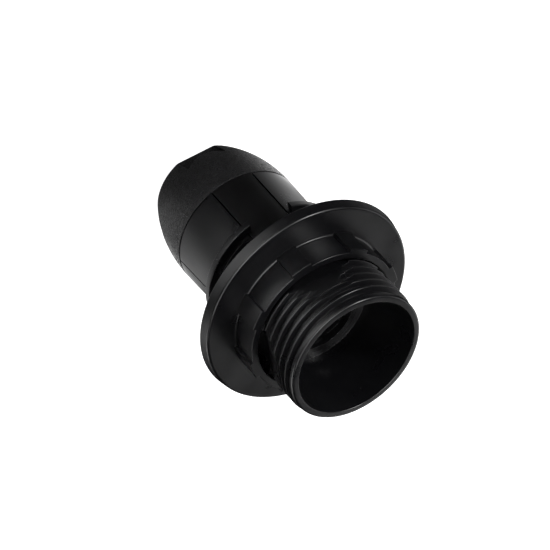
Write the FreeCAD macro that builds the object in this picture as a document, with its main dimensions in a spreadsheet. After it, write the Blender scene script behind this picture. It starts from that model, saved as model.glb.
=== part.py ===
import FreeCAD
import Part
import Sketcher
import math
import os
import types

# Small screw lamp holder with a clip-on dome cap and a threaded shade ring.
# It stands on the flat end of its cap, +Z runs along the holder out of its mouth,
# and the origin is the centre of the flat end. Millimetres.

# Driving sizes
SIZES = {
    # reach of cutting shapes past what they cut, and of fused shapes into each other
    "overrun": 1.0,
    "bite": 0.5,
    # cap
    "cap_room": 4.6,
    "dome_drop": 3.48,
    "dome_height": 13.4,
    "cap_band": 0.85,
    "cap_wall": 1.5,
    "end_wall": 2.0,
    "entry_radius": 4.46,
    "entry_chamfer": 0.55,
    "boss_wall": 2.1,
    "boss_height": 8.0,
    "pocket_width": 8.2,
    "pocket_edge": 1.95,
    "pocket_thick": 2.45,
    "pocket_depth": 9.0,
    "pocket_wall": 1.0,
    "tongue_width": 8.4,
    "tongue_length": 25.6,
    "tongue_thick": 1.9,
    "tongue_overlap": 1.6,
    "latch_height": 0.2,
    "latch_length": 1.2,
    "latch_inset": 1.7,
    "latch_side": 1.0,
    # locking screw in the cap
    "lock_radius": 1.5,
    "lock_recess": 2.4,
    "lock_height": 4.6,
    "lock_gap": 0.74,
    "lock_clearance": 0.08,
    "lock_rib_width": 5.0,
    "hex_width": 1.5,
    "hex_depth": 1.6,
    # housing
    "seam_gap": 0.35,
    "panel_step": 0.01,
    "panel_taper": 0.36,
    "panel_wall": 1.53,
    "panel_length": 11.85,
    "lip_height": 0.6,
    "lip_thick": 1.4,
    "lip_gap_near": 3.8,
    "lip_gap_far": 5.1,
    "total_height": 56.0,
    "sleeve_step": 0.8,
    "band_height": 1.1,
    "band_step": 0.3,
    "rim_wall": 1.33,
    "rim_chamfer": 0.35,
    "throat_step": 0.3,
    "throat_depth": 14.1,
    "shoulder_thick": 1.2,
    "barrel_gap": 0.3,
    "flat_depth": 1.9,
    "flat_width": 13.0,
    "flat_ramp_start": 10.7,
    "flat_ramp_slope": 0.24,
    "channel_floor": 1.0,
    "channel_gap": 0.3,
    "channel_cover": 0.1,
    "slit_width": 0.35,
    "slit_depth": 0.9,
    # shade ring
    "ring_height": 8.0,
    "ring_inset": 11.1,
    "ring_clearance": 0.2,
    "ring_radius": 21.5,
    "ring_flare": 0.42,
    "ring_rim_height": 2.3,
    "ring_plate": 1.4,
    "ring_skirt": 1.1,
    "ring_edge_chamfer": 0.7,
    "collar_wall": 1.3,
    "collar_foot_chamfer": 0.5,
    "rib_height": 0.7,
    "rib_sink": 0.2,
    "rib_angle": 15.0,
    "rib_turn": -79.5,
    # lamp insert
    "insert_clearance": 0.3,
    "insert_inset": 4.1,
    "socket_radius": 7.0,
    "socket_wall": 1.6,
    "socket_chamfer": 0.5,
    "socket_step": 0.3,
    "floor_thick": 5.0,
    "barrel_stand": 1.1,
    "barrier_thick": 1.4,
    "barrier_height": 3.4,
    # contacts and terminals
    "strip_thick": 0.5,
    "strip_width": 4.0,
    "strip_lean": 0.1,
    "slot_clearance": 0.3,
    "slot_top": 1.0,
    "window_height": 1.5,
    "belly_reach": 0.45,
    "belly_drop": 2.6,
    "belly_length": 1.5,
    "side_leg_bend": 1.2,
    "side_leg_height": 7.8,
    "centre_contact_gap": 0.3,
    "centre_contact_rise": 2.4,
    "centre_contact_bend": 0.6,
    "contact_pad_half": 1.6,
    "contact_lip": 1.0,
    "contact_lip_drop": 0.6,
    "terminal_inset": 3.0,
    "terminal_length": 6.6,
    "terminal_width": 8.9,
    "terminal_shift": 0.25,
    "terminal_thick": 1.3,
    "terminal_offset": 0.4,
    "screw_radius": 1.75,
    "screw_length": 6.0,
    "screw_head_radius": 3.0,
    "screw_head_height": 1.9,
    "screw_slot_width": 0.9,
    "screw_slot_depth": 1.0,
    "screw_offset": 1.1,
    "washer_side": 6.0,
    "washer_thick": 0.8,
    "hole_clearance": 0.25,
    "rivet_radius": 0.9,
    "rivet_head_radius": 1.35,
    "rivet_head_height": 0.4,
    "rivet_depth": 1.5,
    "rivet_clearance": 0.05,
    "rivet_offset": 3.4,
}


class Size:
    """A value in millimetres or degrees, with the formula over the sheet that gives it."""

    def __init__(self, text, value):
        self.text = text
        self.value = value

    def _join(self, other, sign, value):
        return Size("(%s %s %s)" % (self.text, sign, other.text), value)

    def __add__(self, other):
        other = size(other)
        return self._join(other, "+", self.value + other.value)

    def __sub__(self, other):
        other = size(other)
        return self._join(other, "-", self.value - other.value)

    def __mul__(self, other):
        other = size(other)
        return self._join(other, "*", self.value * other.value)

    def __truediv__(self, other):
        other = size(other)
        return self._join(other, "/", self.value / other.value)

    def __neg__(self):
        return Size("(0 - %s)" % self.text, -self.value)

    def __radd__(self, other):
        return size(other) + self

    def __rsub__(self, other):
        return size(other) - self

    def __rmul__(self, other):
        return size(other) * self


def size(number):
    """A plain number as a Size."""
    if isinstance(number, Size):
        return number
    return Size(repr(float(number)), float(number))


def root(square):
    return Size("sqrt(%s)" % square.text, math.sqrt(square.value))


doc = FreeCAD.newDocument("LampHolder")
sheet = doc.addObject("Spreadsheet::Sheet", "Sizes")
for row, (alias, number) in enumerate(SIZES.items(), start=1):
    sheet.set("A%d" % row, alias)
    sheet.set("B%d" % row, str(number))
    sheet.setAlias("B%d" % row, alias)
doc.recompute()
S = types.SimpleNamespace(**{name: Size("Sizes." + name, number) for name, number in SIZES.items()})


# Building blocks

def bind(obj, prop, value):
    """Ties a property of an object to the sheet."""
    obj.setExpression(prop, size(value).text)


def place(obj, x=0.0, y=0.0, z=0.0):
    bind(obj, "Placement.Base.x", x)
    bind(obj, "Placement.Base.y", y)
    bind(obj, "Placement.Base.z", z)


def cylinder(name, radius, height, x=0.0, y=0.0, z=0.0):
    obj = doc.addObject("Part::Cylinder", name)
    bind(obj, "Radius", radius)
    bind(obj, "Height", height)
    place(obj, x, y, z)
    return obj


def cylinder_along_x(name, radius, height, x, z):
    obj = cylinder(name, radius, height)
    obj.Placement = FreeCAD.Placement(FreeCAD.Vector(), FreeCAD.Rotation(FreeCAD.Vector(0, 1, 0), 90))
    place(obj, x, 0.0, z)
    return obj


def block(name, x_low, x_high, y_low, y_high, z_low, z_high):
    obj = doc.addObject("Part::Box", name)
    bind(obj, "Length", size(x_high) - x_low)
    bind(obj, "Width", size(y_high) - y_low)
    bind(obj, "Height", size(z_high) - z_low)
    place(obj, x_low, y_low, z_low)
    return obj


def prism(name, across_flats, height, x, z):
    """A six-sided bar along X."""
    obj = doc.addObject("Part::Prism", name)
    obj.Polygon = 6
    bind(obj, "Circumradius", size(across_flats) / 3 ** 0.5)
    bind(obj, "Height", height)
    obj.Placement = FreeCAD.Placement(FreeCAD.Vector(), FreeCAD.Rotation(FreeCAD.Vector(0, 1, 0), 90))
    place(obj, x, 0.0, z)
    return obj


def fuse(name, *pieces):
    obj = doc.addObject("Part::MultiFuse", name)
    obj.Shapes = list(pieces)
    obj.Refine = True
    return obj


def common(name, *pieces):
    obj = doc.addObject("Part::MultiCommon", name)
    obj.Shapes = list(pieces)
    return obj


def cut(name, base, tool):
    obj = doc.addObject("Part::Cut", name)
    obj.Base = base
    obj.Tool = tool
    obj.Refine = True
    return obj


def draw(sketch, corners, bends=None):
    """Draws a closed outline: each corner is bound to the sheet, and bends gives a side its radius.

    A bend's radius is positive where the side bulges to the right of its direction."""
    bends = bends or {}
    count = len(corners)
    points = [FreeCAD.Vector(size(u).value, size(v).value, 0) for u, v in corners]
    for i in range(count):
        start = points[i]
        end = points[(i + 1) % count]
        if i in bends:
            radius = size(bends[i]).value
            along = end - start
            half = along.Length / 2
            side = FreeCAD.Vector(along.y, -along.x, 0).normalize()
            rise = abs(radius) - math.sqrt(max(radius * radius - half * half, 0.0))
            middle = (start + end) / 2 + side * math.copysign(rise, radius)
            sketch.addGeometry(Part.Arc(start, middle, end), False)
        else:
            sketch.addGeometry(Part.LineSegment(start, end), False)
    arc_ends = {}
    for i in range(count):
        arc = sketch.Geometry[i]
        if i in bends:
            flipped = (arc.StartPoint - points[i]).Length > 1e-6
            arc_ends[i] = (2, 1) if flipped else (1, 2)
        else:
            arc_ends[i] = (1, 2)
    for i in range(count):
        following = (i + 1) % count
        joint = Sketcher.Constraint("Coincident", i, arc_ends[i][1], following, arc_ends[following][0])
        sketch.addConstraint(joint)
    for i, (u, v) in enumerate(corners):
        for kind, value in (("DistanceX", u), ("DistanceY", v)):
            value = size(value)
            index = sketch.addConstraint(Sketcher.Constraint(kind, -1, 1, i, arc_ends[i][0], value.value))
            sketch.setExpression("Constraints[%d]" % index, value.text)
    for i, radius in bends.items():
        radius = size(radius)
        if radius.value < 0:
            radius = -radius
        index = sketch.addConstraint(Sketcher.Constraint("Radius", i, radius.value))
        sketch.setExpression("Constraints[%d]" % index, radius.text)
    return sketch


def reach(side, near, far):
    """The low and the high end of a stretch from near to far on the plus or the minus side."""
    return (near, far) if side > 0 else (-far, -near)


UPRIGHT = FreeCAD.Rotation(FreeCAD.Vector(1, 0, 0), 90)


def outline(name, corners, bends=None, turn=0.0):
    """An outline in the upright plane through the axis: first the distance from the axis, then the height."""
    sketch = doc.addObject("Sketcher::SketchObject", name)
    draw(sketch, corners, bends)
    turned_about_z = FreeCAD.Rotation(FreeCAD.Vector(0, 0, 1), turn)
    sketch.Placement = FreeCAD.Placement(FreeCAD.Vector(), turned_about_z * UPRIGHT)
    return sketch


def turned(name, corners, bends=None):
    """A solid of revolution about the holder's axis."""
    obj = doc.addObject("Part::Revolution", name)
    obj.Source = outline(name + "_outline", corners, bends)
    obj.Axis = FreeCAD.Vector(0, 0, 1)
    obj.Angle = 360
    obj.Solid = True
    return obj


def slab(name, corners, width, turn=0.0, bends=None):
    """An upright outline given a width, half to each side of its plane."""
    obj = doc.addObject("Part::Extrusion", name)
    obj.Base = outline(name + "_outline", corners, bends, turn)
    obj.DirMode = "Normal"
    obj.Symmetric = True
    obj.Solid = True
    bind(obj, "LengthFwd", width)
    return obj


# Places that several pieces share

cap_height = S.dome_height + S.cap_band
tongue_top = cap_height + S.tongue_length
housing_rear = cap_height + S.seam_gap
lip_rear = housing_rear + S.panel_length
lip_front = lip_rear + S.lip_thick
mouth = S.total_height
band_bottom = mouth - S.band_height
throat = mouth - S.throat_depth
shoulder = throat - S.shoulder_thick
latch_middle = tongue_top - S.latch_inset

barrel_radius = S.socket_radius + S.socket_wall
cap_radius = barrel_radius + S.cap_room
sleeve_radius = cap_radius + S.sleeve_step
terminal_place = barrel_radius - S.terminal_inset
panel_radius = cap_radius - S.panel_step
panel_front_radius = panel_radius - S.panel_taper
panel_slope = S.panel_taper / S.panel_length
shell_bore = panel_front_radius - S.panel_wall
tongue_inner = cap_radius - S.tongue_thick
floor_outer = tongue_inner - S.channel_gap
floor_inner = floor_outer - S.channel_floor
channel_half = S.tongue_width / 2 + S.channel_gap
channel_end = tongue_top + S.channel_gap
lip_radius = sleeve_radius + S.lip_height

insert_rear = housing_rear + S.insert_inset
socket_floor = insert_rear + S.floor_thick
socket_front = throat + S.barrel_stand
foot_top = insert_rear
foot_bottom = foot_top - S.strip_thick
plate_bottom = foot_bottom - S.terminal_thick
washer_bottom = plate_bottom - S.washer_thick
screw_end = washer_bottom + S.screw_length
rivet_end = insert_rear + S.rivet_depth
below_insert = insert_rear - S.overrun


# Cap: a dome with a flat end, a threaded entry, two release pockets and two long tongues

dome_bend = (S.dome_height * S.dome_height + S.dome_drop * S.dome_drop) / (S.dome_drop * 2)


def dome_radius(inset, height):
    """The dome's radius at a height, set in from its outer surface."""
    bend = dome_bend - inset
    drop = S.dome_height - height
    return cap_radius - dome_bend + root(bend * bend - drop * drop)


OUTER_BANDS = 3
INNER_BANDS = 1


def dome(name, inset, bottom, top, bands):
    """A full dome set in from the outer surface: bands that touch a long arc, then an upright wall."""
    corners = [(0, bottom)]
    for band in range(bands):
        height = bottom + (S.dome_height - bottom) * (band / bands)
        corners.append((dome_radius(inset, height), height))
    wall = cap_radius - inset
    return turned(name, corners + [(wall, S.dome_height), (wall, top), (0, top)])


def tongue(name, side):
    """A springy tongue that runs from the dome along the housing, with a latch ridge on its inner face."""
    low = cap_height - S.tongue_overlap
    front_radius = cap_radius - panel_slope * S.tongue_length
    shell = doc.addObject("Part::Cone", name + "_shell")
    bind(shell, "Radius1", cap_radius + panel_slope * S.tongue_overlap)
    bind(shell, "Radius2", front_radius)
    bind(shell, "Height", tongue_top - low)
    place(shell, z=low)
    wide = S.tongue_width / 2
    near, far = reach(side, tongue_inner, cap_radius + S.overrun)
    strip = common(name + "_strip", shell, block(name + "_span", -wide, wide, near, far, low, tongue_top))
    skin = cylinder(name + "_skin", cap_radius, tongue_top - low, z=low)
    trimmed = common(name + "_trim", strip, skin)
    near, far = reach(side, tongue_inner - S.latch_height, tongue_inner + S.bite)
    ridge = block(name + "_latch", -(wide - S.latch_side), wide - S.latch_side, near, far,
                  latch_middle - S.latch_length / 2, latch_middle + S.latch_length / 2)
    return [trimmed, ridge]


dome_body = dome("dome", size(0), size(0), cap_height, OUTER_BANDS)
hollow = dome("hollow", S.cap_wall, S.end_wall, cap_height + S.overrun, INNER_BANDS)
boss = cylinder("boss", S.entry_radius + S.boss_wall, S.boss_height)
pocket_half = S.pocket_width / 2
pocket_outer = cap_radius - S.pocket_edge
pocket_inner = pocket_outer - S.pocket_thick
walls = []
pockets = []
for side, word in ((1, "front"), (-1, "back")):
    low, high = reach(side, pocket_inner - S.pocket_wall, cap_radius + S.overrun)
    walls.append(block("pocket_wall_" + word, -(pocket_half + S.pocket_wall), pocket_half + S.pocket_wall,
                       low, high, 0, S.pocket_depth + S.pocket_wall))
    low, high = reach(side, pocket_inner, pocket_outer)
    pockets.append(block("pocket_" + word, -pocket_half, pocket_half, low, high,
                         -S.overrun, S.pocket_depth))
lock_rib = block("lock_rib", S.entry_radius + S.boss_wall / 2, cap_radius,
                 -S.lock_rib_width / 2, S.lock_rib_width / 2,
                 0, S.lock_height + S.lock_rib_width / 2)
dome_inside = dome("dome_limit", S.cap_wall / 2, size(0), cap_height, INNER_BANDS)
fittings = common("cap_fittings", dome_inside, fuse("cap_ribs", lock_rib, *walls))
cap_shell = cut("cap_shell", dome_body, hollow)
cap_solid = fuse("cap_solid", cap_shell, boss, fittings, *tongue("tongue_front", 1),
                 *tongue("tongue_back", -1))
entry_top = S.boss_height + S.overrun
entry = turned("entry", [(0, -S.overrun), (S.entry_radius + S.entry_chamfer + S.overrun, -S.overrun),
                         (S.entry_radius + S.entry_chamfer, 0), (S.entry_radius, S.entry_chamfer),
                         (S.entry_radius, entry_top), (0, entry_top)])
lock_hole = cylinder_along_x("lock_hole", S.lock_radius + S.lock_clearance, cap_radius, 0, S.lock_height)
cap = cut("cap", cap_solid, fuse("cap_cuts", entry, lock_hole, *pockets))

# Locking screw: a headless screw that pins the cap to its threaded tube
lock_tip = S.entry_radius + S.lock_gap
lock_end = cap_radius - S.lock_recess
lock_body = cylinder_along_x("lock_body", S.lock_radius, lock_end - lock_tip, lock_tip, S.lock_height)
lock_hex = prism("lock_hex", S.hex_width, S.hex_depth + S.overrun, lock_end - S.hex_depth, S.lock_height)
locking_screw = cut("locking_screw", lock_body, lock_hex)

# Housing: rear panels, lips for the shade and a sleeve with four tool flats, turned about the axis.
# The sleeve is drawn at the crests of its fine thread.
band_radius = sleeve_radius - S.band_step
mouth_radius = band_radius - S.rim_wall
throat_radius = shell_bore - S.throat_step
shoulder_radius = barrel_radius + S.barrel_gap
housing_body = turned(
    "housing_body",
    [(shell_bore, housing_rear), (panel_radius, housing_rear), (panel_front_radius, lip_rear),
     (lip_radius, lip_rear), (lip_radius, lip_front), (sleeve_radius, lip_front),
     (sleeve_radius, band_bottom), (band_radius, band_bottom),
     (band_radius, mouth - S.rim_chamfer), (band_radius - S.rim_chamfer, mouth),
     (mouth_radius + S.rim_chamfer, mouth), (mouth_radius, mouth - S.rim_chamfer),
     (throat_radius, throat), (shoulder_radius, throat),
     (shoulder_radius, shoulder), (shell_bore, shoulder)])

floors = []
openings = []
floor_half = channel_half + S.channel_floor
below_housing = housing_rear - S.overrun
beyond_lip = lip_radius + S.overrun
groove_half = S.latch_length / 2 + S.channel_gap
groove_bottom = floor_outer - S.latch_height - S.channel_gap
for side, word in ((1, "front"), (-1, "back")):
    low, high = reach(side, floor_inner, floor_outer + S.bite)
    floors.append(block("channel_floor_" + word, -floor_half, floor_half, low, high, housing_rear, shoulder))
    low, high = reach(side, floor_outer, beyond_lip)
    trough = block("trough_" + word, -channel_half, channel_half, low, high, below_housing, channel_end)
    inside = cylinder("trough_limit_" + word, cap_radius + S.channel_cover, channel_end - below_housing,
                      z=below_housing)
    openings.append(common("channel_" + word, trough, inside))
    low, high = reach(side, groove_bottom, floor_outer + S.bite)
    openings.append(block("latch_groove_" + word, -channel_half, channel_half, low, high,
                          latch_middle - groove_half, latch_middle + groove_half))
    low, high = reach(side, floor_outer + S.bite, beyond_lip)
    left, right = reach(side, -S.lip_gap_near, S.lip_gap_far)
    openings.append(block("lip_gap_" + word, left, right, low, high, lip_rear, lip_front))
    low, high = reach(side, panel_radius - S.slit_depth, beyond_lip)
    openings.append(block("slit_" + word, low, high, -S.slit_width / 2, S.slit_width / 2,
                          below_housing, lip_rear))
flat_distance = sleeve_radius - S.flat_depth
flat_outside = sleeve_radius + S.overrun
flat_edge = sleeve_radius + S.bite
ramp_bottom = mouth - S.flat_ramp_start
ramp_top = ramp_bottom + (flat_edge - flat_distance) / S.flat_ramp_slope
for quarter in range(4):
    openings.append(slab("flat_%d" % quarter,
                         [(flat_distance, lip_front), (flat_outside, lip_front), (flat_outside, ramp_top),
                          (flat_edge, ramp_top), (flat_distance, ramp_bottom)],
                         S.flat_width, 90 * quarter))
housing_solid = fuse("housing_solid", housing_body, *floors)
housing = cut("housing", housing_solid, fuse("housing_openings", *openings))

# Shade ring: a thin flange with a turned-down rim and a collar with grip ribs

shade_ring = doc.addObject("PartDesign::Body", "shade_ring")


def plane(body, role):
    return next(item for item in body.Origin.OriginFeatures if item.Role == role)


def body_sketch(body, name, role, lift=None):
    sketch = body.newObject("Sketcher::SketchObject", name)
    sketch.AttachmentSupport = [(plane(body, role), "")]
    sketch.MapMode = "FlatFace"
    if lift is not None:
        bind(sketch, "AttachmentOffset.Base.z", lift)
    return sketch


ring_front = mouth - S.ring_inset
ring_rear = ring_front - S.ring_height
flange_front = ring_rear + S.ring_rim_height
plate_rear = flange_front - S.ring_plate
ring_bore = sleeve_radius + S.ring_clearance
collar_radius = ring_bore + S.collar_wall
skirt_radius = S.ring_radius + S.ring_flare
foot = collar_radius + S.collar_foot_chamfer
ring_outline = body_sketch(shade_ring, "ring_outline", "XZ_Plane")
draw(ring_outline,
     [(ring_bore, ring_rear), (collar_radius, ring_rear), (collar_radius, plate_rear),
      (skirt_radius - S.ring_skirt, plate_rear), (skirt_radius - S.ring_skirt, ring_rear),
      (skirt_radius, ring_rear), (S.ring_radius, flange_front - S.ring_edge_chamfer),
      (S.ring_radius - S.ring_edge_chamfer, flange_front), (foot, flange_front),
      (collar_radius, flange_front + S.collar_foot_chamfer), (collar_radius, ring_front),
      (ring_bore, ring_front)])
ring_turned = shade_ring.newObject("PartDesign::Revolution", "ring_turned")
ring_turned.Profile = ring_outline
ring_turned.ReferenceAxis = (ring_outline, ["V_Axis"])
ring_turned.Angle = 360
doc.recompute()
half_rib = math.radians(S.rib_angle.value / 2)
rib_radius = collar_radius + S.rib_height
half_chord = rib_radius * Size("sin(%s * 1 deg / 2)" % S.rib_angle.text, math.sin(half_rib))
rib_reach = rib_radius * Size("cos(%s * 1 deg / 2)" % S.rib_angle.text, math.cos(half_rib))
rib_root = (ring_bore + collar_radius) / 2
rib_bottom = flange_front - S.rib_sink
rib_outline = body_sketch(shade_ring, "rib_outline", "XY_Plane", rib_bottom)
draw(rib_outline, [(rib_root, -half_chord), (rib_reach, -half_chord), (rib_reach, half_chord),
                   (rib_root, half_chord)], {1: rib_radius})
rib = shade_ring.newObject("PartDesign::Pad", "rib")
rib.Profile = rib_outline
bind(rib, "Length", ring_front - rib_bottom)
doc.recompute()
ribs = shade_ring.newObject("PartDesign::PolarPattern", "ribs")
ribs.Originals = [rib]
ribs.Axis = (rib_outline, ["N_Axis"])
ribs.Angle = 360
ribs.Occurrences = 8
shade_ring.Tip = ribs
bind(shade_ring, "Placement.Rotation.Angle", S.rib_turn)

# Lamp insert: a block with the lamp's screw socket in front and the terminals behind

insert_radius = shell_bore - S.insert_clearance
insert_half = floor_inner - S.insert_clearance
insert_top = shoulder - S.insert_clearance / 2
leg_outer = barrel_radius
leg_inner = leg_outer - S.strip_thick
slot_half = S.strip_width / 2 + S.slot_clearance
side_contact_top = socket_floor + S.side_leg_height
window_top = socket_floor + S.window_height
socket_mouth = S.socket_radius + S.socket_chamfer
above_socket = socket_front + S.overrun
insert_round = cylinder("insert_round", insert_radius, insert_top - insert_rear, z=insert_rear)
insert_keyed = common("insert_keyed", insert_round,
                      block("insert_key", -insert_radius, insert_radius, -insert_half, insert_half,
                            insert_rear, insert_top))
barrel = cylinder("barrel", barrel_radius, socket_front - insert_top + S.bite, z=insert_top - S.bite)
barrier = block("barrier", -S.barrier_thick / 2, S.barrier_thick / 2, -insert_half, insert_half,
                insert_rear - S.barrier_height, insert_rear + S.bite)
slot_end = side_contact_top + S.slot_top
socket_rear_radius = S.socket_radius - S.socket_step
socket_hole = turned("socket_hole", [(0, socket_floor), (socket_rear_radius, socket_floor),
                                     (socket_rear_radius, slot_end), (S.socket_radius, slot_end),
                                     (S.socket_radius, socket_front - S.socket_chamfer),
                                     (socket_mouth, socket_front), (socket_mouth, above_socket),
                                     (0, above_socket)])
side_slot = block("side_slot", -(leg_outer + S.slot_clearance), -(S.socket_radius - S.overrun),
                  -slot_half, slot_half, below_insert, slot_end)
centre_slot = block("centre_slot", leg_inner - S.slot_clearance, leg_outer + S.slot_clearance,
                    -slot_half, slot_half, below_insert, window_top)
centre_window = block("centre_window", S.socket_radius - S.overrun, leg_outer, -slot_half, slot_half,
                      socket_floor, window_top)
insert_holes = []
for side, word in ((-1, "side"), (1, "centre")):
    insert_holes.append(cylinder("screw_hole_" + word, S.screw_radius + S.hole_clearance,
                                 screw_end + S.hole_clearance - below_insert,
                                 terminal_place * side, -S.screw_offset, below_insert))
    insert_holes.append(cylinder("rivet_hole_" + word, S.rivet_radius + S.rivet_clearance,
                                 rivet_end + S.rivet_clearance - below_insert,
                                 terminal_place * side, S.rivet_offset, below_insert))
lamp_insert = cut("lamp_insert", fuse("insert_solid", insert_keyed, barrel, barrier),
                  fuse("insert_cuts", socket_hole, side_slot, centre_slot, centre_window, *insert_holes))

# Contacts: strips of spring bronze, each with a foot that its terminal plate covers

foot_inner = terminal_place + S.terminal_offset - S.terminal_length / 2


def with_holes(name, piece, side, low, high):
    """Takes the terminal screw's and the rivet's holes out of a flat piece."""
    holes = fuse(name + "_holes",
                 cylinder(name + "_screw_hole", S.screw_radius + S.hole_clearance, high - low,
                          terminal_place * side, -S.screw_offset, low),
                 cylinder(name + "_rivet_hole", S.rivet_radius + S.rivet_clearance, high - low,
                          terminal_place * side, S.rivet_offset, low))
    return cut(name, piece, holes)


def terminal_block(name, side, near, far, low, high):
    """A flat piece as wide as a terminal."""
    left, right = reach(side, near, far)
    return block(name, left, right, S.terminal_shift - S.terminal_width / 2,
                 S.terminal_shift + S.terminal_width / 2, low, high)


belly = socket_rear_radius - S.belly_reach
belly_back = belly + S.strip_thick
belly_middle = side_contact_top - S.belly_drop
belly_half = S.belly_length / 2
back_half = belly_half - S.strip_lean
leg_bend = socket_floor + S.side_leg_bend
side_leg = slab("side_leg",
                [(-leg_outer, foot_bottom), (-leg_inner, foot_bottom), (-leg_inner, leg_bend),
                 (-belly, belly_middle - belly_half), (-belly, belly_middle + belly_half),
                 (-leg_inner, side_contact_top), (-leg_outer, side_contact_top),
                 (-belly_back, belly_middle + back_half), (-belly_back, belly_middle - back_half),
                 (-leg_outer, leg_bend + S.strip_lean * 2)],
                S.strip_width)
side_foot = terminal_block("side_foot", -1, foot_inner, leg_outer, foot_bottom, foot_top)
side_contact = with_holes("side_contact", fuse("side_strip", side_leg, side_foot), -1, foot_bottom, foot_top)
bend = socket_floor + S.centre_contact_gap
bend_place = leg_inner - S.centre_contact_bend
tip = bend + S.centre_contact_rise
pad = S.contact_pad_half
pad_end = pad + S.contact_lip
centre_leg = slab("centre_leg",
                  [(leg_inner, foot_bottom), (leg_outer, foot_bottom), (leg_outer, bend + S.strip_thick),
                   (bend_place, bend + S.strip_thick + S.strip_lean * 2), (pad, tip), (-pad, tip),
                   (-pad_end, tip - S.contact_lip_drop), (-pad_end, tip - S.contact_lip_drop * 2),
                   (S.strip_lean - pad, tip - S.strip_thick), (pad - S.strip_lean, tip - S.strip_thick),
                   (bend_place, bend), (leg_inner, bend)],
                  S.strip_width)
centre_foot = terminal_block("centre_foot", 1, foot_inner, leg_outer, foot_bottom, foot_top)
centre_contact = with_holes("centre_contact", fuse("centre_strip", centre_leg, centre_foot), 1,
                            foot_bottom, foot_top)

# Terminals: brass plates, rivets, clamp washers and slotted screws


def terminal(word, side):
    plate = terminal_block("plate_" + word, side, foot_inner, foot_inner + S.terminal_length,
                           plate_bottom, foot_bottom)
    with_holes("terminal_plate_" + word, plate, side, plate_bottom, foot_bottom)

    x = terminal_place * side
    shank = cylinder("rivet_shank_" + word, S.rivet_radius, rivet_end - plate_bottom, x, S.rivet_offset,
                     plate_bottom)
    head = cylinder("rivet_head_" + word, S.rivet_head_radius, S.rivet_head_height, x, S.rivet_offset,
                    plate_bottom - S.rivet_head_height)
    fuse("rivet_" + word, shank, head)

    half = S.washer_side / 2
    square = block("washer_square_" + word, x - half, x + half, -S.screw_offset - half,
                   -S.screw_offset + half, washer_bottom, plate_bottom)
    cut("clamp_washer_" + word, square,
        cylinder("washer_hole_" + word, S.screw_radius + S.hole_clearance / 2, S.washer_thick, x,
                 -S.screw_offset, washer_bottom))

    screw_bottom = washer_bottom - S.screw_head_height
    shaft = cylinder("shaft_" + word, S.screw_radius, S.screw_length, x, -S.screw_offset, washer_bottom)
    screw_head = cylinder("screw_head_" + word, S.screw_head_radius, S.screw_head_height, x,
                          -S.screw_offset, screw_bottom)
    slot = block("screw_slot_" + word, x - S.screw_head_radius, x + S.screw_head_radius,
                 -S.screw_offset - S.screw_slot_width / 2, -S.screw_offset + S.screw_slot_width / 2,
                 screw_bottom, screw_bottom + S.screw_slot_depth)
    cut("terminal_screw_" + word, fuse("screw_solid_" + word, shaft, screw_head), slot)


terminal("side", -1)
terminal("centre", 1)

# Nodes

NODES = ["cap", "locking_screw", "housing", "shade_ring", "lamp_insert", "side_contact", "centre_contact",
         "terminal_plate_side", "terminal_plate_centre", "rivet_side", "rivet_centre",
         "clamp_washer_side", "clamp_washer_centre", "terminal_screw_side", "terminal_screw_centre"]

doc.recompute()
for obj in doc.Objects:
    faults = [state for state in obj.State if state in ("Invalid", "Error")]
    if faults:
        raise RuntimeError("%s did not build: %s" % (obj.Name, faults))
os.makedirs("parts", exist_ok=True)
for node in NODES:
    piece = doc.getObject(node)
    piece.Label = node
    shape = piece.Shape
    if shape.isNull() or not shape.isValid() or len(shape.Solids) != 1:
        raise RuntimeError("%s is not one sound solid" % node)
    shape.exportStep("parts/%s.step" % node)
    box = shape.BoundBox
    print("%-24s %9.1f mm3  x %.2f %.2f  y %.2f %.2f  z %.2f %.2f"
          % (node, shape.Volume, box.XMin, box.XMax, box.YMin, box.YMax, box.ZMin, box.ZMax))
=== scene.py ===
import math

import bmesh
import bpy
from mathutils import Matrix, Vector


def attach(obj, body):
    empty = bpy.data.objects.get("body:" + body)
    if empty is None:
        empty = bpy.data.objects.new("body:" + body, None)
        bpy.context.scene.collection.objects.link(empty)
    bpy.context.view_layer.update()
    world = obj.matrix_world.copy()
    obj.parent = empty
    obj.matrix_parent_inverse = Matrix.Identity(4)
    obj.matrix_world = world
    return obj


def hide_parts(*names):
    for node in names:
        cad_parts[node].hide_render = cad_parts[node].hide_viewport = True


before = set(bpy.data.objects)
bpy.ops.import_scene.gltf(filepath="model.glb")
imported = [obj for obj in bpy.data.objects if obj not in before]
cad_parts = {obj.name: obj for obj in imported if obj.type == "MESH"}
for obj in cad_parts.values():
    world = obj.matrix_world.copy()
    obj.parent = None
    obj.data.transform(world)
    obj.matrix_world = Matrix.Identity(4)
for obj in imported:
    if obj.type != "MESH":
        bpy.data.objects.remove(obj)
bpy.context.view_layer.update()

# A small screw lamp holder of black plastic: a domed cap, a threaded sleeve with tool flats and
# a shade ring. Lengths below are millimetres; meshes are scaled to metres as they are made.
MM = 0.001

# Heights along the axis, from the cap's flat end to the mouth
LOCK_HEIGHT = 4.6
DOME_EQUATOR = 13.4
CAP_RIM = 14.25
HOUSING_REAR = 14.6
LIP_REAR = 26.45
LIP_FRONT = 27.85
RING_REAR = 36.9
FLANGE_FRONT = 39.2
SHOULDER = 40.7
THROAT = 41.9
RING_FRONT = 44.9
BAND_BOTTOM = 54.9
MOUTH = 56.0

# Radii
END_RADIUS = 9.72
INSERT_RADIUS = 11.0
MOUTH_RADIUS = 12.37
SLEEVE_CORE = 12.8
SLEEVE_ROOT = 13.0
PANEL_RADIUS = 13.19
CAP_RADIUS = 13.2
BAND_RADIUS = 13.7
SLEEVE_CREST = 14.0
LIP_RADIUS = 14.6
COLLAR_RADIUS = 15.5

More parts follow.
